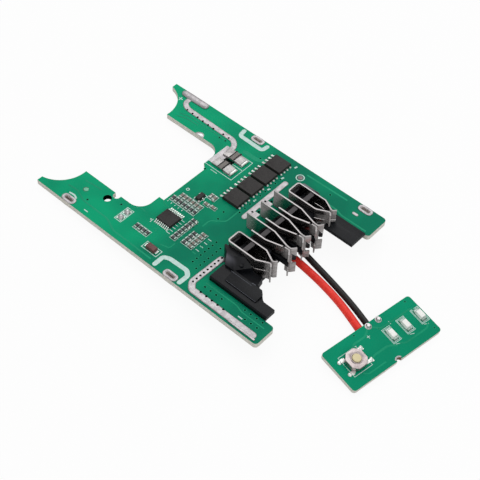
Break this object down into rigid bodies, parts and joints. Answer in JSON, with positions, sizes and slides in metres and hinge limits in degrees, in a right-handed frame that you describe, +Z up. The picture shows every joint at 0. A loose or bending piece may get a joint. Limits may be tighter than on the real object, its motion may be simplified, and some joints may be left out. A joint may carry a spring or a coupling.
{
  "type": "battery management board",
  "caption": "Battery pack control board with cell prongs, folded spring contacts in a black housing, and a small lamp and button board on two leads.",
  "frame": {"origin": "centre of the locating hole, at the underside of the main board", "axes": "+X from the cell prongs towards the spring contacts, +Y across the board to its long copper run side, +Z up out of the component side"},
  "size_m": [0.1078, 0.054, 0.012],
  "materials": {
    "board_green": "satin",
    "tinned": "satin",
    "solder": "bright",
    "moulded_black": "satin",
    "diode_brown": "satin",
    "resistor_black": "glazed",
    "capacitor_tan": "satin",
    "housing_black": "satin",
    "contact_metal": "bright",
    "red_insulation": "satin",
    "black_insulation": "satin",
    "led_white": "satin",
    "switch_steel": "bright",
    "button_brass": "satin"
  },
  "bodies": {
    "boards": {"bare_ends": "tinned", "black_lead": "black_insulation", "capacitor_bodies": "capacitor_tan", "capacitor_ends": "tinned", "contact_1": "contact_metal", "contact_2": "contact_metal", "contact_3": "contact_metal", "contact_4": "contact_metal", "contact_5": "contact_metal", "contact_housing": "housing_black", "contact_solder": "solder", "contact_strip": "tinned", "controller_chip": "moulded_black", "controller_leads": "tinned", "diode_body": "diode_brown", "diode_ends": "tinned", "lead_joints": "solder", "led_1": "led_white", "led_2": "led_white", "led_3": "led_white", "led_board": "board_green", "led_board_joints": "solder", "led_contacts": "tinned", "main_board": "board_green", "mosfet_1": "moulded_black", "mosfet_2": "moulded_black", "mosfet_3": "moulded_black", "mosfet_4": "moulded_black", "mosfet_leads": "tinned", "negative_bus": "tinned", "positive_bus": "tinned", "red_lead": "red_insulation", "resistor_bodies": "resistor_black", "resistor_ends": "tinned", "shunt_1": "tinned", "shunt_2": "tinned", "shunt_coats": "moulded_black", "shunt_pads": "tinned", "slot_rings": "tinned", "solder_bumps": "solder", "switch_base": "moulded_black", "switch_cover": "switch_steel", "switch_dome": "contact_metal", "switch_legs": "switch_steel", "transistor": "moulded_black", "transistor_leads": "tinned"},
    "button": {"switch_button": "button_brass"}
  },
  "joints": [
    {"name": "button_press", "type": "slide", "parent": "boards", "child": "button", "axis": [-0.1303, 0.0001, -0.9915], "range_m": [0, 0.00025], "stiffness_N_per_m": 3000, "springref_m": -0.0002}
  ]
}
